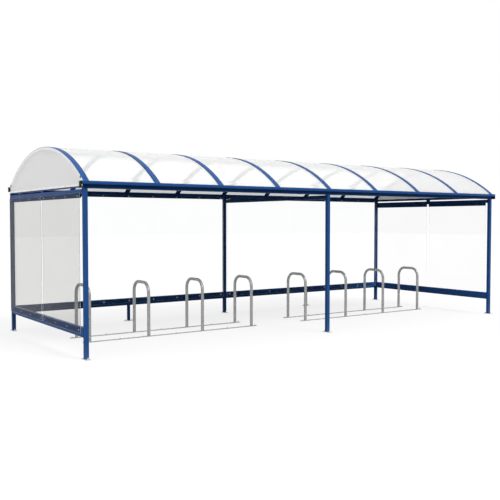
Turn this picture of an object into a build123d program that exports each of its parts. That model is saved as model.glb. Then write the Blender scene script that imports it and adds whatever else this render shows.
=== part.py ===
from build123d import *
import os
from math import cos, radians, sin

# Open-fronted bike shelter: a two-bay square-tube frame with a barrel roof,
# sheet walls on three sides and two toast-rack bike stands.
#
# Frame: +X runs along the open front (left to right, seen from outside),
# +Y runs from the open front to the back wall, +Z is up.  The origin is on
# the ground at the centre of the footprint.  Millimetres.

# ---------------------------------------------------------------- sizes
# overall layout
bay_length = 4000.0          # post centre to post centre, along X
bay_count = 2
depth = 2980.0               # front post centre to back post centre
eave_height = 2156.0         # underside of the eave beams = top of the posts
roof_rise = 537.0            # top of the eave beam to the crown of the roof

# square and rectangular tubes
post_size = 55.0
leg_size = 44.0              # short legs under the back rail
low_rail_height = 120.0
low_rail_top = 398.0
cross_beam_height = 60.0
cross_beam_drop = 8.0        # top of the cross beams below the eave beams
eave_beam_height = 92.0
chord_height = 40.0          # gable chord between the eave beams
chord_drop = 16.0            # chord underside above the eave beam underside

# gutter on the outside of each eave beam
gutter_width = 45.0
gutter_height = 42.0
gutter_wall = 3.0
gutter_overrun_front = 45.0  # past the outer face of the end posts
gutter_overrun_back = 15.0

# base plates
plate_length = 160.0         # across the frame under a post, along it under a leg
plate_width = 70.0
plate_thickness = 8.0
plate_hole_spacing = 115.0
plate_hole_radius = 6.5

# roof
arches_per_bay = 4           # roof fields in one bay
fields_per_sheet = 2
arch_tube_depth = 30.0       # the arches are as wide as the posts
roof_sheet = 6.0
sheet_edge_gap = 6.0         # between neighbouring roof sheets, under the cap
cap_thickness = 4.0
ridge_rail_size = 40.0       # square tube under the crown, from end arch to end arch
ridge_rail_setback = 10.0    # its ends from the outer faces of the end arches

# wall sheets
wall_sheet = 6.0
sheet_above_rail = 40.0      # lower edge above the low rail's underside
end_sheet_lap = 14.0         # up the outside of the end beam
end_sheet_front_gap = 80.0   # front post to the first sheet
end_sheet_middle_gap = 60.0
end_sheet_middle_y = 25.0    # middle of the gap between the two end sheets
back_sheet_side_gap = 12.0
back_sheet_lap = 40.0        # up the inside of the eave beam
fixing_bar_height = 50.0
fixing_bar_thickness = 20.0
gable_gap = 14.0             # gable sheet edge above the chord underside
notch_clearance = 2.0

# bike racks
rack_offset = -32.0          # middle of a rack from the middle of its bay
rack_y = -30.0               # middle of a hoop
hoops_per_rack = 4
hoop_pitch = 948.0
hoop_height = 836.0          # ground to the top of the tube
hoop_width = 495.0           # leg centre to leg centre
hoop_tube = 48.3             # across the flats of the many-sided section
hoop_sides = 12
hoop_bend_radius = 155.0     # to the tube's centre line
hoop_bend_steps = 5          # straight steps in each quarter bend
bar_width = 50.0
bar_thickness = 8.0
bar_overrun = 100.0

# ---------------------------------------------------------------- derived
half_post = post_size / 2
post_xs = [(i - bay_count / 2) * bay_length for i in range(bay_count + 1)]
x_end = post_xs[-1]
y_post = depth / 2
y_in = y_post - half_post            # inner face of posts and eave beams
y_out = y_post + half_post
beam_top = eave_height + eave_beam_height
low_rail_bottom = low_rail_top - low_rail_height
cross_beam_bottom = eave_height - cross_beam_drop - cross_beam_height
wall_sheet_bottom = low_rail_bottom + sheet_above_rail
end_sheet_top = cross_beam_bottom + end_sheet_lap
bay_middles = [(a + b) / 2 for a, b in zip(post_xs, post_xs[1:])]

crown = beam_top + roof_rise                     # outside of the cap strips
# the arches' outsides come down flush with the eave beams' outer faces
tube_rise = roof_rise - cap_thickness - roof_sheet
tube_radius = (y_out ** 2 + tube_rise ** 2) / (2 * tube_rise)
sheet_radius = tube_radius + roof_sheet
roof_radius = sheet_radius + cap_thickness
roof_centre_z = crown - roof_radius
cap_width = post_size + 2 * wall_sheet           # covers the gable sheets' edges
field = bay_length / arches_per_bay
arch_xs = [post_xs[0] + i * field for i in range(bay_count * arches_per_bay + 1)]

parts = {}


def block(x0, x1, y0, y1, z0, z1):
    """Square-cut bar between three pairs of faces."""
    return Pos((x0 + x1) / 2, (y0 + y1) / 2, (z0 + z1) / 2) * Box(x1 - x0, y1 - y0, z1 - z0)


def group(solids):
    return Compound(children=list(solids))


def row_names(count):
    """left ... right for a row of like pieces, with middles between."""
    if count == 1:
        return ["middle"]
    middles = ["middle"] if count == 3 else [f"middle_{i}" for i in range(1, count - 1)]
    return ["left", *middles, "right"]


# ---------------------------------------------------------------- posts
for y, row in ((-y_post, "front"), (y_post, "back")):
    for x, name in zip(post_xs, row_names(len(post_xs))):
        parts[f"post_{row}_{name}"] = block(
            x - half_post, x + half_post, y - half_post, y + half_post, plate_thickness, eave_height)

# short legs halfway along each back bay, from plate to low rail
parts["back_legs"] = group(
    block(x - leg_size / 2, x + leg_size / 2, y_post - leg_size / 2, y_post + leg_size / 2,
          plate_thickness, low_rail_bottom) for x in bay_middles)


def base_plate(x, y, turn=0):
    plate = Box(plate_width, plate_length, plate_thickness)
    for hole in GridLocations(0, plate_hole_spacing, 1, 2):
        plate -= hole * Cylinder(plate_hole_radius, plate_thickness * 2)
    return Pos(x, y, plate_thickness / 2) * Rot(0, 0, turn) * plate


parts["base_plates_front"] = group(base_plate(x, -y_post) for x in post_xs)
parts["base_plates_back"] = group(base_plate(x, y_post) for x in post_xs)
parts["base_plates_legs"] = group(base_plate(x, y_post, 90) for x in bay_middles)

# ---------------------------------------------------------------- rails and beams
for x, name in ((post_xs[0], "left"), (x_end, "right")):
    parts[f"low_rail_{name}"] = block(x - half_post, x + half_post, -y_in, y_in, low_rail_bottom, low_rail_top)
    parts[f"end_beam_{name}"] = block(x - half_post, x + half_post, -y_in, y_in,
                                      cross_beam_bottom, cross_beam_bottom + cross_beam_height)
parts["low_rail_back"] = group(
    block(a + half_post, b - half_post, y_in, y_out, low_rail_bottom, low_rail_top)
    for a, b in zip(post_xs, post_xs[1:]))
parts["middle_beam"] = group(
    block(x - half_post, x + half_post, -y_in, y_in, cross_beam_bottom, cross_beam_bottom + cross_beam_height)
    for x in post_xs[1:-1])

beam_end = x_end + half_post
parts["eave_beam_front"] = block(-beam_end, beam_end, -y_out, -y_in, eave_height, beam_top)
parts["eave_beam_back"] = block(-beam_end, beam_end, y_in, y_out, eave_height, beam_top)

# gutters: a folded channel, open at the top, closed at both ends
def gutter(side, overrun):
    end = beam_end + overrun
    outer = block(-end, end, 0, gutter_width, 0, gutter_height)
    inner = block(-end + gutter_wall, end - gutter_wall, gutter_wall,
                  gutter_width - gutter_wall, gutter_wall, gutter_height + 1)
    g = Pos(0, y_out, beam_top - gutter_height) * (outer - inner)
    return g if side > 0 else mirror(g, about=Plane.XZ)


parts["gutter_front"] = gutter(-1, gutter_overrun_front)
parts["gutter_back"] = gutter(1, gutter_overrun_back)

# gable chords between the eave beams, and a short strut down to the end beam
chord_bottom = eave_height + chord_drop
parts["gable_chords"] = group(
    block(x - half_post, x + half_post, -y_in, y_in, chord_bottom, chord_bottom + chord_height)
    for x in (post_xs[0], x_end))
parts["gable_struts"] = group(
    block(x - half_post, x + half_post, -half_post, half_post,
          cross_beam_bottom + cross_beam_height, chord_bottom)
    for x in (post_xs[0], x_end))

# ---------------------------------------------------------------- roof


def curved_strip(x0, x1, r_out, thick, z_floor):
    """Part of a tube about the roof axis, from one eave to the other."""
    section = Circle(r_out) - Circle(r_out - thick)
    ring = extrude(Plane.YZ * section, x1 - x0)
    ring = Pos(x0, 0, roof_centre_z) * ring
    keep = block(x0 - 1, x1 + 1, -r_out - 1, r_out + 1, z_floor, crown + 1)
    return ring & keep


for i, x in enumerate(arch_xs, start=1):
    parts[f"roof_arch_{i}"] = curved_strip(
        x - half_post, x + half_post, tube_radius, arch_tube_depth, beam_top)

# the ridge rail's top follows the arches' undersides
rail_end = beam_end - ridge_rail_setback
arch_inside_radius = tube_radius - arch_tube_depth
rail = block(-rail_end, rail_end, -ridge_rail_size / 2, ridge_rail_size / 2,
             roof_centre_z + arch_inside_radius - ridge_rail_size, crown)
underside = Pos(-rail_end - 1, 0, roof_centre_z) * extrude(
    Plane.YZ * Circle(arch_inside_radius), 2 * rail_end + 2)
parts["roof_ridge_rail"] = rail & underside

sheets = []
sheet_xs = arch_xs[::fields_per_sheet]
for a, b in zip(sheet_xs, sheet_xs[1:]):
    x0 = a - half_post if a == arch_xs[0] else a + sheet_edge_gap / 2
    x1 = b + half_post if b == arch_xs[-1] else b - sheet_edge_gap / 2
    sheets.append(curved_strip(x0, x1, sheet_radius, roof_sheet, beam_top))
parts["roof_sheets"] = group(sheets)
parts["cap_strips"] = group(
    curved_strip(x - cap_width / 2, x + cap_width / 2, roof_radius, cap_thickness, beam_top)
    for x in arch_xs)


def gable_sheet(side):
    """Flat segment under the end cap strip, notched round the eave beams and gutters."""
    x0 = x_end + half_post
    disc = extrude(Plane.YZ * Circle(sheet_radius), wall_sheet)
    disc = Pos(x0, 0, roof_centre_z) * disc
    panel = disc & block(x0 - 1, x0 + wall_sheet + 1, -y_out * 2, y_out * 2, chord_bottom + gable_gap, crown)
    for s in (-1, 1):
        y0, y1 = sorted((s * (y_in - notch_clearance), s * y_out * 2))
        panel -= block(x0 - 2, x0 + wall_sheet + 2, y0, y1, eave_height - 1, beam_top + notch_clearance)
    return panel if side > 0 else mirror(panel, about=Plane.YZ)


parts["gable_sheet_left"] = gable_sheet(-1)
parts["gable_sheet_right"] = gable_sheet(1)

# ---------------------------------------------------------------- walls
end_panels = ((-y_in + end_sheet_front_gap, end_sheet_middle_y - end_sheet_middle_gap / 2),
              (end_sheet_middle_y + end_sheet_middle_gap / 2, y_out))
for side, name in ((-1, "left"), (1, "right")):
    face = side * (x_end + half_post)
    x0, x1 = sorted((face, face + side * wall_sheet))
    parts[f"end_wall_{name}"] = group(
        block(x0, x1, a, b, wall_sheet_bottom, end_sheet_top) for a, b in end_panels)
    x0, x1 = sorted((face, face - side * fixing_bar_thickness))
    parts[f"fixing_bars_{name}"] = group(
        block(x0, x1, a, min(b, y_in), cross_beam_bottom - fixing_bar_height, cross_beam_bottom)
        for a, b in end_panels)

parts["back_wall"] = group(
    block(a + half_post + back_sheet_side_gap, b - half_post - back_sheet_side_gap,
          y_in - wall_sheet, y_in, wall_sheet_bottom, eave_height + back_sheet_lap)
    for a, b in zip(post_xs, post_xs[1:]))

# ---------------------------------------------------------------- bike racks


def hoop(x):
    """Bent round tube standing on the two floor bars."""
    top = hoop_height - hoop_tube / 2
    half = hoop_width / 2
    r = hoop_bend_radius
    angles = [radians(90 * i / hoop_bend_steps) for i in range(hoop_bend_steps + 1)]
    rise = [(half, bar_thickness)] + [(half - r + r * cos(a), top - r + r * sin(a)) for a in angles]
    path = Polyline(*[(0, -y, z) for y, z in rise], *[(0, y, z) for y, z in reversed(rise)])
    section = Rot(0, 0, 180 / hoop_sides) * RegularPolygon(hoop_tube / 2, hoop_sides, major_radius=False)
    tube = sweep(Pos(0, -half, bar_thickness) * section, path=path, transition=Transition.RIGHT)
    return Pos(x, rack_y, 0) * tube


def floor_bar(x, y):
    half = (hoops_per_rack - 1) * hoop_pitch / 2 + bar_overrun
    return block(x - half, x + half, y - bar_width / 2, y + bar_width / 2, 0, bar_thickness)


for middle, name in zip(bay_middles, row_names(bay_count)):
    cx = middle + rack_offset
    xs = [cx + (i - (hoops_per_rack - 1) / 2) * hoop_pitch for i in range(hoops_per_rack)]
    parts[f"rack_hoops_{name}"] = group(hoop(x) for x in xs)
    parts[f"rack_bars_{name}"] = group(floor_bar(cx, rack_y + s * hoop_width / 2) for s in (-1, 1))

# ---------------------------------------------------------------- files
os.makedirs("parts", exist_ok=True)
for name, shape in parts.items():
    export_step(shape, f"parts/{name}.step")
print(len(parts), "nodes; roof radius", round(roof_radius, 1))
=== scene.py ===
import bmesh
import bpy
from math import asin, cos, pi, radians, sin
from mathutils import Matrix, Vector


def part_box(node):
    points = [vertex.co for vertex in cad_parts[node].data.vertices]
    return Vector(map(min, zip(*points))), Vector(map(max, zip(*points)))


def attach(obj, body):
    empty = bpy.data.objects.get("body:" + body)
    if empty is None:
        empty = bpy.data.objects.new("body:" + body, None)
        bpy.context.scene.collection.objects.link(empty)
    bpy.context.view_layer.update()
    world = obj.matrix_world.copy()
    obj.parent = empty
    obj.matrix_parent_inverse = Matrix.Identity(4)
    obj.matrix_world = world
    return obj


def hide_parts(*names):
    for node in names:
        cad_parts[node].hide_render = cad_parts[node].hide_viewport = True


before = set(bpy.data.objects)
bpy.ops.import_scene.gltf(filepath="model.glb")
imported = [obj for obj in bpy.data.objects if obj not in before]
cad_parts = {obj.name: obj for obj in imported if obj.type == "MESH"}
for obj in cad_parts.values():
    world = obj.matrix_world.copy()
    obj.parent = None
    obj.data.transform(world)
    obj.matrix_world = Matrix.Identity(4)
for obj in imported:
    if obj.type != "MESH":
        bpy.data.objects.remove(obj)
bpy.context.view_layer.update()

# Bike shelter.  Metres, with +X along the open front, +Y towards the back
# wall, +Z up and the ground at zero.

scene = bpy.context.scene


# ---------------------------------------------------------------- posts, rails and beams
# Cold-formed square and rectangular steel tube, welded up and powder coated a
# satin blue.  The long corners are rounded in the rolling, the coat has a
# faint orange peel, and rain throws a little dust on it near the ground.

def socket(group, name, way, value=None):
    """One named number that goes into or out of a shader node group."""
    made = group.interface.new_socket(name=name, in_out=way, socket_type="NodeSocketFloat")
    if value is not None:
        made.default_value = value


def join(tree, *ends):
    """Links outputs to inputs, given in pairs."""
    for a, b in zip(ends[::2], ends[1::2]):
        tree.links.new(a, b)


def math_node(tree, operation, a, b):
    """A Math node whose two inputs are sockets or numbers."""
    node = tree.nodes.new("ShaderNodeMath")
    node.operation = operation
    for place_in, value in zip(node.inputs, (a, b)):
        if isinstance(value, bpy.types.NodeSocket):
            tree.links.new(value, place_in)
        else:
            place_in.default_value = value
    return node.outputs[0]


# soft blotches between two values
mottle = bpy.data.node_groups.new("mottle", "ShaderNodeTree")
socket(mottle, "Scale", "INPUT", 5.0)
socket(mottle, "Detail", "INPUT", 3.0)
socket(mottle, "Low", "INPUT", 0.0)
socket(mottle, "High", "INPUT", 1.0)
socket(mottle, "Value", "OUTPUT")
inside = mottle.nodes.new("NodeGroupInput")
outside = mottle.nodes.new("NodeGroupOutput")
place = mottle.nodes.new("ShaderNodeTexCoord")
noise = mottle.nodes.new("ShaderNodeTexNoise")
spread = mottle.nodes.new("ShaderNodeMapRange")
spread.inputs["From Min"].default_value = 0.3
spread.inputs["From Max"].default_value = 0.7
join(mottle, place.outputs["Object"], noise.inputs["Vector"],
     inside.outputs["Scale"], noise.inputs["Scale"],
     inside.outputs["Detail"], noise.inputs["Detail"],
     noise.outputs["Fac"], spread.inputs["Value"],
     inside.outputs["Low"], spread.inputs["To Min"],
     inside.outputs["High"], spread.inputs["To Max"],
     spread.outputs["Result"], outside.inputs["Value"])

# splashed dust: most at the ground, gone at the given height
splash = bpy.data.node_groups.new("splash", "ShaderNodeTree")
socket(splash, "Height", "INPUT", 0.35)
socket(splash, "Amount", "INPUT", 0.3)
socket(splash, "Mask", "OUTPUT")
inside = splash.nodes.new("NodeGroupInput")
outside = splash.nodes.new("NodeGroupOutput")
place = splash.nodes.new("ShaderNodeTexCoord")
apart = splash.nodes.new("ShaderNodeSeparateXYZ")
fall = splash.nodes.new("ShaderNodeMapRange")
fall.inputs["To Min"].default_value = 1.0
fall.inputs["To Max"].default_value = 0.0
specks = splash.nodes.new("ShaderNodeTexNoise")
specks.inputs["Scale"].default_value = 55.0
specks.inputs["Detail"].default_value = 4.0
join(splash, place.outputs["Object"], apart.inputs[0],
     place.outputs["Object"], specks.inputs["Vector"],
     apart.outputs["Z"], fall.inputs["Value"],
     inside.outputs["Height"], fall.inputs["From Max"])
dust = math_node(splash, "MULTIPLY", fall.outputs["Result"], specks.outputs["Fac"])
join(splash, math_node(splash, "MULTIPLY", dust, inside.outputs["Amount"]),
     outside.inputs["Mask"])


def use_group(tree, group, **values):
    """What a shared group gives with these settings."""
    node = tree.nodes.new("ShaderNodeGroup")
    node.node_tree = group
    for name, value in values.items():
        node.inputs[name].default_value = value
    return node.outputs[0]


def new_material(name, metallic=0.0, ior=1.5):
    """A material, its node tree and its Principled shader."""
    made = bpy.data.materials.new(name)
    made.use_nodes = True
    principled = made.node_tree.nodes["Principled BSDF"]
    principled.inputs["Metallic"].default_value = metallic
    principled.inputs["IOR"].default_value = ior
    return made, made.node_tree, principled


def two_tone(tree, first, second, factor, goal):
    """Mixes two colours, or a socket and a colour, by a factor socket."""
    mix = tree.nodes.new("ShaderNodeMix")
    mix.data_type = "RGBA"
    for name, colour in (("A", first), ("B", second)):
        if isinstance(colour, bpy.types.NodeSocket):
            tree.links.new(colour, mix.inputs[name])
        else:
            mix.inputs[name].default_value = (*colour, 1)
    join(tree, factor, mix.inputs["Factor"], mix.outputs["Result"], goal)
    return mix.outputs["Result"]


def relief(tree, shader, height, depth):
    """A fine bump."""
    bump = tree.nodes.new("ShaderNodeBump")
    bump.inputs["Distance"].default_value = depth
    join(tree, height, bump.inputs["Height"], bump.outputs["Normal"], shader.inputs["Normal"])


DUST = (0.26, 0.25, 0.23)


def coating(name, tones, blotches, gloss, grain=None, dusted=None, metallic=0.0, specular=0.5):
    """A material in two close tones, with its own gloss and fine relief.

    blotches holds the tones' scale and detail, gloss the roughness's scale,
    detail, lowest and highest value, grain the relief's scale, detail and
    depth, and dusted the height and amount of the splashed dust.
    """
    made, tree, shader = new_material(name, metallic)
    shader.inputs["Specular IOR Level"].default_value = specular
    scale, detail = blotches
    tone = two_tone(tree, *tones, use_group(tree, mottle, Scale=scale, Detail=detail),
                    shader.inputs["Base Color"])
    if dusted:
        height, amount = dusted
        two_tone(tree, tone, DUST, use_group(tree, splash, Height=height, Amount=amount),
                 shader.inputs["Base Color"])
    scale, detail, low, high = gloss
    join(tree, use_group(tree, mottle, Scale=scale, Detail=detail, Low=low, High=high),
         shader.inputs["Roughness"])
    if grain:
        scale, detail, depth = grain
        relief(tree, shader, use_group(tree, mottle, Scale=scale, Detail=detail), depth)
    return made


blue_coat = coating("blue_powder_coat", ((0.015, 0.068, 0.225), (0.021, 0.077, 0.248)),
                    blotches=(3.0, 4.0), gloss=(9.0, 3.0, 0.34, 0.44),
                    grain=(420.0, 1.0, 0.00005), dusted=(0.20, 0.20), specular=0.04)


def finished(name, bm, material, replaces=(), sharp=30):
    """Makes a piece from a bmesh, shades it, and ties it to the frame."""
    mesh = bpy.data.meshes.new(name)
    bmesh.ops.recalc_face_normals(bm, faces=bm.faces)
    bm.to_mesh(mesh)
    bm.free()
    mesh.shade_smooth()
    mesh.set_sharp_from_angle(angle=radians(sharp))
    mesh.materials.append(material)
    piece = bpy.data.objects.new(name, mesh)
    scene.collection.objects.link(piece)
    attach(piece, "root")
    if replaces:
        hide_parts(*replaces)
    return piece


SAME_POINT = 0.00002
FLAT, CORNER = radians(0.5), radians(30)     # the bend across an edge
ALONG = 0.99                 # part of an edge's length that lies on its axis


def outline_of(node):
    """A node's own form as a welded bmesh, with its flat faces made whole."""
    bm = bmesh.new()
    bm.from_mesh(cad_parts[node].data)
    bmesh.ops.remove_doubles(bm, verts=bm.verts, dist=SAME_POINT)
    bmesh.ops.dissolve_limit(bm, angle_limit=FLAT, verts=bm.verts, edges=bm.edges)
    return bm


def round_corners(bm, radius, segments=2, along=None):
    """Bevels the corners, or only those that run along one axis."""
    edges = [e for e in bm.edges if len(e.link_faces) == 2 and e.calc_face_angle(0) > CORNER
             and (along is None
                  or abs((e.verts[1].co - e.verts[0].co).normalized()[along]) > ALONG)]
    bmesh.ops.bevel(bm, geom=edges, offset=radius, segments=segments, profile=0.5,
                    affect="EDGES", material=-1, clamp_overlap=True)


def boxes_of(node):
    """Lowest and highest corners of each separate solid in a node."""
    bm = bmesh.new()
    bm.from_mesh(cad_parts[node].data)
    bmesh.ops.remove_doubles(bm, verts=bm.verts, dist=SAME_POINT)
    left, found = set(bm.verts), []
    while left:
        solid, waiting = set(), [left.pop()]
        while waiting:
            v = waiting.pop()
            solid.add(v)
            for e in v.link_edges:
                other = e.other_vert(v)
                if other in left:
                    left.discard(other)
                    waiting.append(other)
        found.append((Vector([min(v.co[i] for v in solid) for i in range(3)]),
                      Vector([max(v.co[i] for v in solid) for i in range(3)])))
    bm.free()
    return sorted(found, key=lambda b: (round(b[0].x, 3), round(b[0].y, 3)))


TUBE_CORNER = 0.003
# the tubes, by the start of their names, with the axis that each runs along
RUNS_ALONG = {"post_": 2, "back_legs": 2, "gable_struts": 2, "low_rail_left": 1,
              "low_rail_right": 1, "low_rail_back": 0, "end_beam": 1, "middle_beam": 1,
              "eave_beam": 0, "gable_chords": 1, "roof_ridge_rail": 0}
for start, axis in RUNS_ALONG.items():
    for node in sorted(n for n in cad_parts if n.startswith(start)):
        bm = outline_of(node)
        round_corners(bm, TUBE_CORNER, 3, axis)
        finished(node + "_tube", bm, blue_coat, [node])

# fillet welds round the ends of the rails and beams, under the paint
WELD, WELD_BITE = 0.004, 0.0005


def weld_collar(bm, centre, normal, half_a, half_b, bead):
    """A four-sided fillet round the end of a square or rectangular tube."""
    ring = bmesh.ops.create_cone(bm, cap_ends=False, segments=4, radius1=1, radius2=0.9,
                                 depth=1)["verts"]
    bmesh.ops.rotate(bm, verts=ring, cent=(0, 0, 0), matrix=Matrix.Rotation(pi / 4, 3, "Z"))
    for v in ring:
        grow = bead if v.co.z < 0 else -WELD_BITE
        v.co = Vector(((half_a + grow) * (1 if v.co.x > 0 else -1),
                       (half_b + grow) * (1 if v.co.y > 0 else -1),
                       0.0 if v.co.z < 0 else bead))
    turn = Vector(normal).to_track_quat("Z", "Y").to_matrix()
    bmesh.ops.rotate(bm, verts=ring, cent=(0, 0, 0), matrix=turn)
    bmesh.ops.translate(bm, verts=ring, vec=centre)


bm = bmesh.new()
for node in [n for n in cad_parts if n.startswith("post_")] + ["back_legs"]:
    for low, high in boxes_of(node):
        mid, half = (low + high) / 2, (high - low) / 2
        weld_collar(bm, (mid.x, mid.y, low.z), (0, 0, 1), half.x, half.y, WELD)
for start in ("low_rail_left", "low_rail_right", "end_beam", "middle_beam"):
    for node in [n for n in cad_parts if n.startswith(start)]:
        for low, high in boxes_of(node):
            mid, half = (low + high) / 2, (high - low) / 2
            for y, way in ((low.y, 1), (high.y, -1)):
                weld_collar(bm, (mid.x, y, mid.z), (0, way, 0), half.x, half.z, WELD)
for low, high in boxes_of("low_rail_back"):
    mid, half = (low + high) / 2, (high - low) / 2
    for x, way in ((low.x, 1), (high.x, -1)):
        weld_collar(bm, (x, mid.y, mid.z), (way, 0, 0), half.z, half.y, WELD)
finished("frame_weld_fillets", bm, blue_coat)


# ---------------------------------------------------------------- base plates and anchors
# Every post and leg stands on an 8 mm steel plate, zinc plated and drilled
# for two M12 anchors, each with its washer and hexagon nut on a stud.

plate_zinc = coating("zinc_plated_steel", ((0.56, 0.57, 0.58), (0.68, 0.69, 0.70)),
                     blotches=(30.0, 4.0), gloss=(60.0, 3.0, 0.34, 0.5),
                     grain=(300.0, 2.0, 0.00004), metallic=0.65)
PLATE_CORNER = 0.0008
BOLT_REACH = 0.0575          # plate middle to anchor

# washer, nut, its chamfered top, stud and the stud's tip: radius, lowest and
# highest point, sides, and radius at the top
ANCHOR = ((0.0120, 0.0000, 0.0022, 24, 0.0120),
          (0.0108, 0.0022, 0.0108, 6, 0.0108),
          (0.0098, 0.0108, 0.0120, 18, 0.0088),
          (0.0058, 0.0120, 0.0215, 16, 0.0058),
          (0.0058, 0.0215, 0.0225, 16, 0.0045))


def turned(at, normal):
    """Place for a fitting that stands on a surface."""
    return Matrix.Translation(at) @ Vector(normal).to_track_quat("Z", "Y").to_matrix().to_4x4()


def disc(bm, place, radius, low, high, sides, top):
    """A short cylinder or taper between two heights above the surface."""
    bmesh.ops.create_cone(bm, cap_ends=True, segments=sides, radius1=radius, radius2=top,
                          depth=high - low,
                          matrix=place @ Matrix.Translation((0, 0, (low + high) / 2)))


def fitting(bm, at, normal, discs, size=1.0):
    """A turned fitting on a surface, with its discs scaled in width."""
    place = turned(at, normal)
    for radius, low, high, sides, top in discs:
        disc(bm, place, radius * size, low, high, sides, top * size)


bolts = bmesh.new()
for node in ("base_plates_front", "base_plates_back", "base_plates_legs"):
    bm = outline_of(node)
    round_corners(bm, PLATE_CORNER, 1)
    finished(node + "_steel", bm, plate_zinc, [node])
    for low, high in boxes_of(node):
        mid, size = (low + high) / 2, high - low
        reach = Vector((0, BOLT_REACH, 0)) if size.y > size.x else Vector((BOLT_REACH, 0, 0))
        for side in (-1, 1):
            spot = mid + side * reach
            fitting(bolts, (spot.x, spot.y, high.z), (0, 0, 1), ANCHOR)
finished("plate_anchor_bolts", bolts, plate_zinc, sharp=35)


# ---------------------------------------------------------------- gutters
# A channel folded from 3 mm sheet and coated with the frame runs along the
# outside of each eave beam.  A moulded black stop closes each end and laps
# over the end of the beam.

black_plastic = coating("black_plastic", ((0.004, 0.0045, 0.006), (0.008, 0.009, 0.011)),
                        blotches=(40.0, 3.0), gloss=(25.0, 3.0, 0.42, 0.58),
                        grain=(700.0, 2.0, 0.00005), specular=0.05)

FOLD = 0.0012                # rounding of thin folded and moulded edges
CLOSED_END = 0.0035          # a channel's end wall lies within this of its tip
STOP = 0.004                 # thickness of a stop
STOP_LAP = 0.037             # how far it laps over the end of the beam
# how far a stop reaches below the channel's rim, and above it
STOP_REACH = {"gutter_front": (0.090, -0.002), "gutter_back": (0.038, 0.034)}

for node in STOP_REACH:
    bm = outline_of(node)
    low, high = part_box(node)
    for v in bm.verts:
        for end, way in ((low[0], 1), (high[0], -1)):
            if abs(v.co.x - end) < CLOSED_END:
                v.co.x += way * STOP
    round_corners(bm, FOLD)
    finished(node + "_channel", bm, blue_coat, [node])


def plate(bm, low, high):
    """A flat block between two corners."""
    made = bmesh.ops.create_cube(bm, size=1)["verts"]
    low, high = Vector(low), Vector(high)
    bmesh.ops.scale(bm, verts=made, vec=high - low)
    bmesh.ops.translate(bm, verts=made, vec=(low + high) / 2)


bm = bmesh.new()
for node, (drop, rise) in STOP_REACH.items():
    low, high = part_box(node)
    near = -1 if low[1] < 0 else 1
    outer = max(abs(low[1]), abs(high[1]))
    inner = outer - (high[1] - low[1]) - STOP_LAP
    y0, y1 = sorted((near * outer, near * inner))
    for end, way in ((low[0], 1), (high[0], -1)):
        x0, x1 = sorted((end, end + way * STOP))
        plate(bm, (x0, y0, high[2] - drop), (x1, y1, high[2] + rise))
round_corners(bm, FOLD)
finished("gutter_stop_ends", bm, black_plastic)


# ---------------------------------------------------------------- roof arches and cap strips
# Nine tubes bent to one radius carry the roof.  A flat strip is screwed down
# over each, through the sheets, onto a black rubber seal that shows as a
# thin line along both sides of the strip.

ARCH_CORNER = 0.0025
for node in sorted(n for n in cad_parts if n.startswith("roof_arch_")):
    bm = outline_of(node)
    round_corners(bm, ARCH_CORNER)
    finished(node + "_bent_tube", bm, blue_coat, [node])

bm = outline_of("cap_strips")
round_corners(bm, FOLD)
finished("roof_cap_strips", bm, blue_coat, ["cap_strips"])

# the roof's own circle, from the sheets' box
low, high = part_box("roof_sheets")
rise, reach = high[2] - low[2], high[1]
SHEET_RADIUS = (reach ** 2 + rise ** 2) / (2 * rise)
AXIS_Z = high[2] - SHEET_RADIUS
FOOT_ANGLE = asin(reach / SHEET_RADIUS)
ROOF_STEPS = 56

SEAL_WIDTH, SEAL_HEIGHT = 0.008, 0.0032
SEAL_TUCK = 0.001            # how much of its width lies under the strip
SEAL_BITE = 0.0004           # it sits this far into the sheet
SCREWS_A_STRIP = 10          # even, so none stands on the crown
STRIP_SPREAD = 0.965         # part of the way from crown to foot that they cover
HEAD_BITE = 0.0002
# washer, head and the head's dome, as for the anchors
DOME_SCREW = ((0.0085, 0.0000, 0.0014, 18, 0.0085),
              (0.0060, 0.0014, 0.0030, 14, 0.0056),
              (0.0056, 0.0030, 0.0042, 14, 0.0038))


def swept_bar(bm, x0, x1, inner, outer, reach):
    """A rectangular bar that follows the roof's curve between two radii."""
    bar = bmesh.ops.create_grid(bm, x_segments=1, y_segments=1, size=0.5)["verts"]
    for v in bar:
        v.co = Vector((x0 if v.co.x < 0 else x1, 0, inner if v.co.y < 0 else outer))
    bmesh.ops.rotate(bm, verts=bar, cent=(0, 0, 0), matrix=Matrix.Rotation(-reach, 3, "X"))
    bmesh.ops.translate(bm, verts=bar, vec=(0, 0, AXIS_Z))
    bmesh.ops.spin(bm, geom=list({f for v in bar for f in v.link_faces}), cent=(0, 0, AXIS_Z),
                   axis=(1, 0, 0), angle=2 * reach, steps=ROOF_STEPS,
                   use_merge=False, use_duplicate=False)


bm = bmesh.new()
heads = bmesh.new()
caps = boxes_of("cap_strips")
roof_end = max(abs(low.x) for low, high in caps)
for low, high in caps:
    for x, way in ((low.x, -1), (high.x, 1)):
        if abs(x + way * SEAL_WIDTH) > roof_end:
            continue
        x0, x1 = sorted((x - way * SEAL_TUCK, x + way * SEAL_WIDTH))
        swept_bar(bm, x0, x1, SHEET_RADIUS - SEAL_BITE, SHEET_RADIUS + SEAL_HEIGHT, FOOT_ANGLE)
    axis_point = Vector(((low.x + high.x) / 2, 0, AXIS_Z))
    for i in range(SCREWS_A_STRIP):
        a = FOOT_ANGLE * STRIP_SPREAD * (2 * i / (SCREWS_A_STRIP - 1) - 1)
        out_way = Vector((0, sin(a), cos(a)))
        fitting(heads, axis_point + out_way * (high.z - AXIS_Z - HEAD_BITE), out_way, DOME_SCREW)
finished("cap_rubber_seals", bm, black_plastic, sharp=40)
finished("cap_screws", heads, blue_coat, sharp=35)


# ---------------------------------------------------------------- opal sheets
# The roof and the gables are 6 mm opal plastic, the roof cold curved over
# the arches: white by day, with only a soft hint of the steel behind it.
# It dims what reaches the ground under it.

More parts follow.
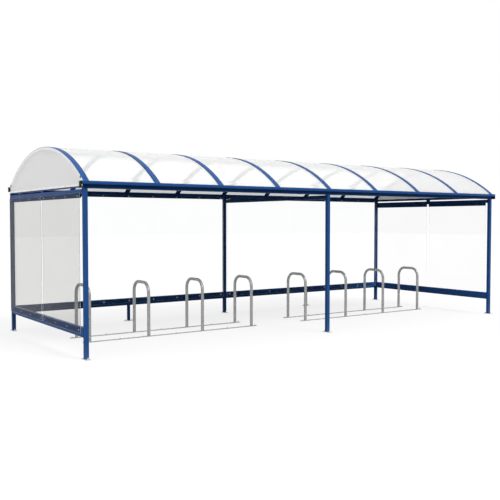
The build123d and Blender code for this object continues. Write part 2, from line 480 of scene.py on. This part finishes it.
OPAL_TINT, OPAL_FAINT = (0.995, 0.995, 0.995), (0.98, 0.985, 0.985)
OPAL_SHADE = (0.04, 0.041, 0.042)


def lets_lamps_by(tree, surface, colour):
    """Rays from lamps and from matt surfaces go straight through, dimmed."""
    path = tree.nodes.new("ShaderNodeLightPath")
    clear = tree.nodes.new("ShaderNodeBsdfTransparent")
    clear.inputs["Color"].default_value = (*colour, 1)
    mix = tree.nodes.new("ShaderNodeMixShader")
    join(tree, math_node(tree, "MAXIMUM", path.outputs["Is Shadow Ray"],
                         path.outputs["Is Diffuse Ray"]), mix.inputs["Fac"],
         surface, mix.inputs[1],
         clear.outputs["BSDF"], mix.inputs[2],
         mix.outputs["Shader"], tree.nodes["Material Output"].inputs["Surface"])


def opal(name, thrown, glowing, haze, shade):
    """Opal plastic: part of its white is thrown back and part glows through."""
    made, tree, shader = new_material(name, ior=1.45)
    tint = two_tone(tree, OPAL_TINT, OPAL_FAINT, use_group(tree, mottle, Scale=1.3, Detail=4.0),
                    shader.inputs["Base Color"])
    shader.inputs["Transmission Weight"].default_value = 1 - thrown / (1 - glowing)
    shader.inputs["Roughness"].default_value = haze
    surface = shader.outputs["BSDF"]
    if glowing:
        glow = tree.nodes.new("ShaderNodeBsdfTranslucent")
        both = tree.nodes.new("ShaderNodeMixShader")
        both.inputs["Fac"].default_value = glowing
        join(tree, tint, glow.inputs["Color"], surface, both.inputs[1],
             glow.outputs["BSDF"], both.inputs[2])
        surface = both.outputs["Shader"]
    lets_lamps_by(tree, surface, shade)
    return made


# the white lies in the weather face; the inner face is plain
roof_outside = opal("opal_plastic", thrown=0.39, glowing=0.21, haze=0.05, shade=OPAL_SHADE)
gable_outside = opal("opal_plastic_gable", thrown=0.78, glowing=0.10, haze=0.10, shade=OPAL_SHADE)
opal_inside = opal("opal_plastic_inside", thrown=0.0, glowing=0.0, haze=0.02, shade=(1, 1, 1))
OUTWARD = 0.5                # a pane's outer face looks at least this much outward


def weather_face(piece, is_outside):
    """Leaves a sheet's outer faces as they are, and makes the others plain."""
    piece.data.materials.append(opal_inside)
    for face in piece.data.polygons:
        face.material_index = 0 if is_outside(face.center, face.normal) else 1


def faces_the_sky(centre, normal):
    """True on the side of a roof sheet that looks away from the roof's axis."""
    return normal.y * centre.y + normal.z * (centre.z - AXIS_Z) > 0


def outer_face(low, high):
    """The X of a box's face at the end of the shelter, and which way it looks."""
    return (high[0], 1) if high[0] > 0 else (low[0], -1)


roof = finished("roof_opal_sheets", outline_of("roof_sheets"), roof_outside,
                ["roof_sheets"])
weather_face(roof, faces_the_sky)
for side, way in (("left", -1), ("right", 1)):
    pane = finished("gable_pane_" + side, outline_of("gable_sheet_" + side), gable_outside,
                    ["gable_sheet_" + side])
    weather_face(pane, lambda centre, normal: normal.x * way > OUTWARD)

# a bright aluminium trim holds the panes' edges against the end arches and chords
trim_metal = coating("bright_aluminium", ((0.76, 0.765, 0.77), (0.82, 0.82, 0.825)),
                     blotches=(30.0, 3.0), gloss=(60.0, 3.0, 0.24, 0.34), metallic=0.95)
TRIM, TRIM_WIDTH, TRIM_BITE = 0.0012, 0.030, 0.0002
TRIM_REACH = 0.978           # part of the way from crown to foot
TRIM_RADIUS = SHEET_RADIUS - 0.0065
SILL_WIDTH, SILL_INSET = 0.026, 0.03
bm = bmesh.new()
for side in ("left", "right"):
    low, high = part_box("gable_sheet_" + side)
    face, way = outer_face(low, high)
    x0, x1 = sorted((face - way * TRIM_BITE, face + way * TRIM))
    swept_bar(bm, x0, x1, TRIM_RADIUS - TRIM_WIDTH, TRIM_RADIUS, FOOT_ANGLE * TRIM_REACH)
    plate(bm, (x0, low[1] + SILL_INSET, low[2]), (x1, high[1] - SILL_INSET, low[2] + SILL_WIDTH))
finished("gable_edge_trims", bm, trim_metal)

# a small black clip grips the trim near each foot of the end arches
CLIP_TURN = radians(36)      # from the crown
CLIP_HALF, CLIP_IN, CLIP_OUT, CLIP_THICK = 0.014, 0.021, 0.005, 0.005
bm = bmesh.new()
for side in ("left", "right"):
    low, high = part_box("gable_sheet_" + side)
    face, way = outer_face(low, high)
    x0, x1 = sorted((face, face + way * CLIP_THICK))
    for turn in (-CLIP_TURN, CLIP_TURN):
        before = set(bm.verts)
        plate(bm, (x0, -CLIP_HALF, AXIS_Z + TRIM_RADIUS - CLIP_IN),
              (x1, CLIP_HALF, AXIS_Z + TRIM_RADIUS + CLIP_OUT))
        bmesh.ops.rotate(bm, verts=[v for v in bm.verts if v not in before],
                         cent=(0, 0, AXIS_Z), matrix=Matrix.Rotation(turn, 3, "X"))
round_corners(bm, FOLD)
finished("gable_corner_clips", bm, black_plastic)


# ---------------------------------------------------------------- clear wall sheets
# The ends and the back are 6 mm clear plastic, flat and glossy, screwed to
# the low rails, to the bars under the end beams and to the eave beam.  The
# sheets of the left end carry a grey tint that is painted shade.

CLEAR_FAINT = 0.985


def clear_material(name, tint, ior, haze):
    """Clear plastic of one tint, which lamps shine through."""
    made, tree, shader = new_material(name, ior=ior)
    two_tone(tree, tint, [c * CLEAR_FAINT for c in tint],
             use_group(tree, mottle, Scale=1.6, Detail=3.0), shader.inputs["Base Color"])
    shader.inputs["Transmission Weight"].default_value = 1.0
    shader.inputs["Roughness"].default_value = haze
    lets_lamps_by(tree, shader.outputs["BSDF"], tint)
    return made


back_clear = clear_material("clear_plastic", (0.985, 0.995, 0.99), ior=1.12, haze=0.01)
right_clear = clear_material("clear_plastic_right_end", (0.955, 0.955, 0.955), ior=1.12, haze=0.01)
# painted shade: the left end's sheets get a grey tint for the shade on that end
left_clear_painted_shade = clear_material("clear_plastic_left_end_painted_shade", (0.71, 0.705, 0.70), ior=1.09, haze=0.02)
stainless = coating("stainless_steel", ((0.50, 0.50, 0.51), (0.60, 0.60, 0.61)),
                    blotches=(90.0, 2.0), gloss=(120.0, 2.0, 0.24, 0.36), metallic=0.9)
sawn_edge, tree, shader = new_material("sawn_sheet_edge")
two_tone(tree, (0.80, 0.82, 0.82), (0.90, 0.91, 0.91),
         use_group(tree, mottle, Scale=260.0, Detail=3.0), shader.inputs["Base Color"])
shader.inputs["Roughness"].default_value = 0.6

SHEET_EDGE, BAR_CORNER = 0.0006, 0.0015
BROAD = 0.95                 # a sheet's clear faces look at least this much across it
for node, material, across in (("back_wall", back_clear, 1), ("end_wall_left", left_clear_painted_shade, 0),
                               ("end_wall_right", right_clear, 0)):
    bm = outline_of(node)
    round_corners(bm, SHEET_EDGE, 1)
    sheets = finished(node + "_sheets", bm, material, [node])
    sheets.data.materials.append(sawn_edge)
    for face in sheets.data.polygons:
        face.material_index = 0 if abs(face.normal[across]) > BROAD else 1
for node in ("fixing_bars_left", "fixing_bars_right"):
    bm = outline_of(node)
    round_corners(bm, BAR_CORNER, 2, 1)
    finished(node + "_tube", bm, blue_coat, [node])

EDGE, PITCH = 0.06, 0.46     # first screw from a sheet's corner, and usual spacing
BELOW_RAIL_TOP, BELOW_SHEET_TOP = 0.04, 0.02
SILL_SCREWS, SILL_SPAN, ABOVE_SILL = 7, 1.36, 0.013
ARC_SCREWS, ARC_SPREAD = 7, 0.94
ARC_SCREW_RADIUS = SHEET_RADIUS - 0.021


def row_of_screws(bm, axis, low, high, fixed, normal):
    """Screws at even spacing along one edge of a sheet."""
    run = high[axis] - low[axis] - 2 * EDGE
    count = max(2, round(run / PITCH) + 1)
    for i in range(count):
        spot = Vector(fixed)
        spot[axis] = low[axis] + EDGE + run * i / (count - 1)
        fitting(bm, spot, normal, DOME_SCREW)


bm = bmesh.new()
rail_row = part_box("low_rail_back")[1][2] - BELOW_RAIL_TOP
for side in ("left", "right"):
    bar_low, bar_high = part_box("fixing_bars_" + side)
    for low, high in boxes_of("end_wall_" + side):
        face, way = outer_face(low, high)
        for z in (rail_row, (bar_low[2] + bar_high[2]) / 2):
            row_of_screws(bm, 1, low, high, (face, 0, z), (way, 0, 0))
for low, high in boxes_of("back_wall"):
    for z in (rail_row, high.z - BELOW_SHEET_TOP):
        row_of_screws(bm, 0, low, high, (0, low.y, z), (0, -1, 0))
for node in ("gable_sheet_left", "gable_sheet_right"):
    low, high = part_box(node)
    face, way = outer_face(low, high)
    x = face + way * TRIM
    for i in range(SILL_SCREWS):
        y = SILL_SPAN * (2 * i / (SILL_SCREWS - 1) - 1)
        fitting(bm, (x, y, low[2] + ABOVE_SILL), (way, 0, 0), DOME_SCREW)
    for i in range(1, ARC_SCREWS + 1):
        a = FOOT_ANGLE * ARC_SPREAD * (2 * i / (ARC_SCREWS + 1) - 1)
        fitting(bm, (x, ARC_SCREW_RADIUS * sin(a), AXIS_Z + ARC_SCREW_RADIUS * cos(a)),
                (way, 0, 0), DOME_SCREW)
finished("sheet_screws", bm, stainless, sharp=35)


# ---------------------------------------------------------------- bike racks
# Each hoop is one length of 48 mm galvanised tube with two smooth bends,
# standing on two flat bars with a weld round each foot.  The bars are
# anchored to the ground between the hoops.

galvanised, tree, shader = new_material("galvanised_steel", metallic=0.75)
spangle = tree.nodes.new("ShaderNodeTexVoronoi")
spangle.inputs["Scale"].default_value = 70.0
place = tree.nodes.new("ShaderNodeTexCoord")
grey = tree.nodes.new("ShaderNodeSeparateColor")
join(tree, place.outputs["Object"], spangle.inputs["Vector"],
     spangle.outputs["Color"], grey.inputs[0])
two_tone(tree, (0.27, 0.27, 0.275), (0.40, 0.40, 0.41), grey.outputs[0],
         shader.inputs["Base Color"])
join(tree, use_group(tree, mottle, Scale=24.0, Detail=3.0, Low=0.38, High=0.54),
     shader.inputs["Roughness"])
relief(tree, shader, use_group(tree, mottle, Scale=180.0, Detail=2.0), 0.00010)

HOOPS_A_RACK = 4
TUBE_RADIUS, TUBE_SIDES = 0.02415, 32
BEND_RADIUS, BEND_STEPS = 0.155, 14
BEAD_RADIUS, BEAD_SIDES, BEAD_STEPS, BEAD_LIFT = 0.0035, 8, 28, 0.001
BAR_END = 0.03               # last anchor from the end of a bar
RACK_ANCHOR_SIZE = 0.9


def drawn_out(bm, edges, way):
    """Pulls a ring of edges along a straight line, and returns the new ring."""
    out = bmesh.ops.extrude_edge_only(bm, edges=edges)["geom"]
    bmesh.ops.translate(bm, verts=[g for g in out if isinstance(g, bmesh.types.BMVert)], vec=way)
    return [g for g in out if isinstance(g, bmesh.types.BMEdge)]


def bent(bm, edges, centre):
    """Carries a ring of edges round a quarter bend."""
    out = bmesh.ops.spin(bm, geom=edges, cent=centre, axis=(1, 0, 0), angle=-pi / 2,
                         steps=BEND_STEPS, use_merge=False, use_duplicate=False)["geom_last"]
    return [g for g in out if isinstance(g, bmesh.types.BMEdge)]


for side in ("left", "right"):
    low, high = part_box("rack_hoops_" + side)
    step = (high[0] - low[0] - 2 * TUBE_RADIUS) / (HOOPS_A_RACK - 1)
    front, back = low[1] + TUBE_RADIUS, high[1] - TUBE_RADIUS
    bend_z = high[2] - TUBE_RADIUS - BEND_RADIUS
    hoops, welds = bmesh.new(), bmesh.new()
    for i in range(HOOPS_A_RACK):
        x = low[0] + TUBE_RADIUS + i * step
        foot = bmesh.ops.create_circle(hoops, segments=TUBE_SIDES, radius=TUBE_RADIUS)["verts"]
        bmesh.ops.translate(hoops, verts=foot, vec=(x, front, low[2]))
        ring = drawn_out(hoops, list({e for v in foot for e in v.link_edges}),
                         (0, 0, bend_z - low[2]))
        ring = bent(hoops, ring, (x, front + BEND_RADIUS, bend_z))
        ring = drawn_out(hoops, ring, (0, back - front - 2 * BEND_RADIUS, 0))
        ring = bent(hoops, ring, (x, back - BEND_RADIUS, bend_z))
        drawn_out(hoops, ring, (0, 0, low[2] - bend_z))
        for y in (front, back):
            bead = bmesh.ops.create_circle(welds, segments=BEAD_SIDES, radius=BEAD_RADIUS)["verts"]
            bmesh.ops.rotate(welds, verts=bead, cent=(0, 0, 0),
                             matrix=Matrix.Rotation(pi / 2, 3, "X"))
            bmesh.ops.translate(welds, verts=bead, vec=(x + TUBE_RADIUS, y, low[2] + BEAD_LIFT))
            bmesh.ops.spin(welds, geom=bead + list({e for v in bead for e in v.link_edges}),
                           cent=(x, y, low[2]), axis=(0, 0, 1), angle=2 * pi, steps=BEAD_STEPS,
                           use_merge=True, use_duplicate=False)
    bmesh.ops.holes_fill(hoops, edges=[e for e in hoops.edges if e.is_boundary])
    finished(f"rack_hoops_{side}_bent_tube", hoops, galvanised,
             ["rack_hoops_" + side], sharp=40)
    finished(f"rack_foot_welds_{side}", welds, galvanised, sharp=60)
    bm = outline_of("rack_bars_" + side)
    round_corners(bm, BAR_CORNER)
    finished(f"rack_floor_bars_{side}", bm, galvanised, ["rack_bars_" + side])
    bolts = bmesh.new()
    for bar_low, bar_high in boxes_of("rack_bars_" + side):
        y = (bar_low.y + bar_high.y) / 2
        stops = [bar_low.x + BAR_END, bar_high.x - BAR_END] + [
            low[0] + TUBE_RADIUS + (i + 0.5) * step for i in range(HOOPS_A_RACK - 1)]
        for x in stops:
            fitting(bolts, (x, y, bar_high.z), (0, 0, 1), ANCHOR, RACK_ANCHOR_SIZE)
    finished(f"rack_anchor_bolts_{side}", bolts, plate_zinc, sharp=35)


# ---------------------------------------------------------------- floor, light and camera
# A pale studio floor in a white surround, whose light comes mostly from
# above.  A soft key lamp stands high in front, a broad one lights the left
# end, and the camera is at a standing viewer's height.

FLOOR_HALF, FLOOR_DROP = 70, 0.0005
bm = bmesh.new()
bmesh.ops.create_grid(bm, x_segments=1, y_segments=1, size=FLOOR_HALF)
bmesh.ops.translate(bm, verts=bm.verts, vec=(0, 0, -FLOOR_DROP))
floor_mesh = bpy.data.meshes.new("studio_floor")
bm.to_mesh(floor_mesh)
bm.free()
floor = bpy.data.objects.new("studio_floor", floor_mesh)
scene.collection.objects.link(floor)


def seen_rays(tree):
    """1 for rays from the camera, a gloss or a clear surface, 0 for the rest."""
    path = tree.nodes.new("ShaderNodeLightPath")
    both = math_node(tree, "MAXIMUM", path.outputs["Is Camera Ray"],
                     path.outputs["Is Glossy Ray"])
    return math_node(tree, "MAXIMUM", both, path.outputs["Is Transmission Ray"])


FLOOR_GREY, FLOOR_SEEN, FLOOR_GLOW = (0.12, 0.12, 0.12), (0.16, 0.16, 0.16), 0.78
pale_floor, tree, shader = new_material("pale_floor")
seen = seen_rays(tree)
two_tone(tree, FLOOR_GREY, FLOOR_SEEN, seen, shader.inputs["Base Color"])
shader.inputs["Roughness"].default_value = 0.9
shader.inputs["Specular IOR Level"].default_value = 0.0
shader.inputs["Emission Color"].default_value = (1, 1, 1, 1)
join(tree, math_node(tree, "MULTIPLY", seen, FLOOR_GLOW), shader.inputs["Emission Strength"])
floor_mesh.materials.append(pale_floor)

SKY_LOW, SKY_HIGH, SKY_STARTS = 0.06, 1.35, 0.15
world = bpy.data.worlds.new("white_surround")
scene.world = world
world.use_nodes = True
tree = world.node_tree
surround = tree.nodes["Background"]
surround.inputs["Color"].default_value = (1, 1, 1, 1)
place = tree.nodes.new("ShaderNodeTexCoord")
apart = tree.nodes.new("ShaderNodeSeparateXYZ")
overhead = tree.nodes.new("ShaderNodeMapRange")
overhead.inputs["From Min"].default_value = SKY_STARTS
overhead.inputs["To Min"].default_value = SKY_LOW
overhead.inputs["To Max"].default_value = SKY_HIGH
white = tree.nodes.new("ShaderNodeMix")
white.inputs["B"].default_value = 1.0
join(tree, place.outputs["Generated"], apart.inputs[0],
     apart.outputs["Z"], overhead.inputs["Value"],
     overhead.outputs["Result"], white.inputs["A"],
     seen_rays(tree), white.inputs["Factor"],
     white.outputs["Result"], surround.inputs["Strength"])


def sun(name, strength, width, side):
    """A lamp that shines from one side, as wide as the given degrees."""
    lamp = bpy.data.lights.new(name, "SUN")
    lamp.energy = strength
    lamp.angle = radians(width)
    holder = bpy.data.objects.new(name, lamp)
    holder.rotation_euler = Vector(side).to_track_quat("Z", "Y").to_euler()
    scene.collection.objects.link(holder)


sun("key_lamp", strength=2.55, width=25, side=(0.24, -0.64, 0.73))
sun("fill_lamp", strength=1.45, width=60, side=(-0.85, -0.25, 0.46))

lens = bpy.data.cameras.new("camera")
lens.sensor_width = 36.0
lens.lens = 52.42
lens.clip_end = 300.0
camera = bpy.data.objects.new("camera", lens)
camera.location = (-7.524, -10.151, 1.744)
camera.rotation_euler = (radians(90 - 2.266), 0, radians(-34.894))
scene.collection.objects.link(camera)
scene.camera = camera
scene.view_settings.view_transform = "Standard"

bpy.context.view_layer.update()
